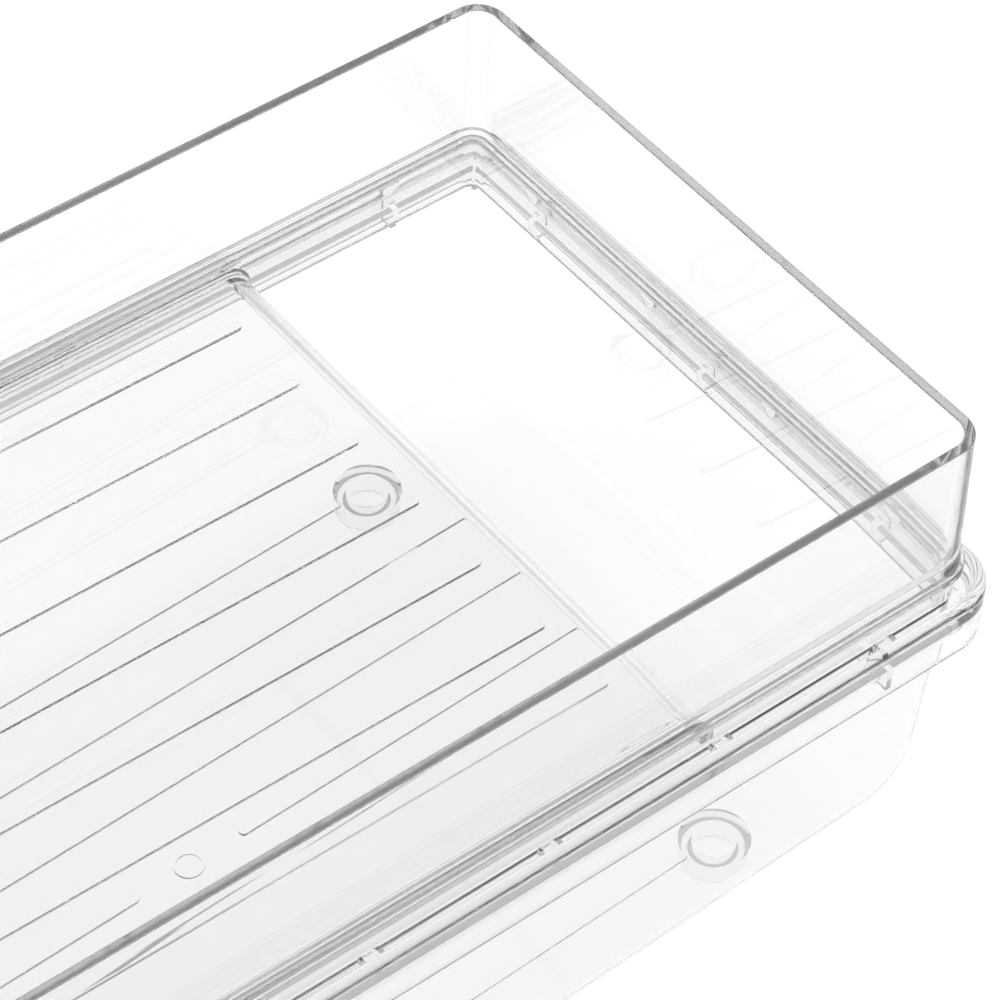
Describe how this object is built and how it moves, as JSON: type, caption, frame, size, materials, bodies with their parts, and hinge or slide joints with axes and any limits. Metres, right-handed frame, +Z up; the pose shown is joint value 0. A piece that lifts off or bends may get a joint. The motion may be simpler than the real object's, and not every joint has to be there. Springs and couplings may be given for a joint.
{
  "type": "rolling can dispenser",
  "caption": "Clear plastic can dispenser: cans roll back along a lift-off upper tray, drop through the gap at its rear and roll forward in a deeper lower tray.",
  "frame": {"origin": "centre of the overall box, on the surface that the feet stand on", "axes": "+Z up, +Y towards the back where cans drop, -Y towards the front where cans are taken out, +X across the trays"},
  "size_m": [0.1864, 0.3814, 0.1375],
  "materials": {
    "clear_plastic": "clear glossy moulded styrene plastic, colourless"
  },
  "bodies": {
    "lower_tray": {"lower_tray": "clear_plastic"},
    "upper_tray": {"upper_tray": "clear_plastic"}
  },
  "joints": [
    {"name": "upper_tray_lift", "type": "slide", "parent": "lower_tray", "child": "upper_tray", "axis": [0, 0.0342, 0.9994], "range_m": [0, 0.06]}
  ]
}
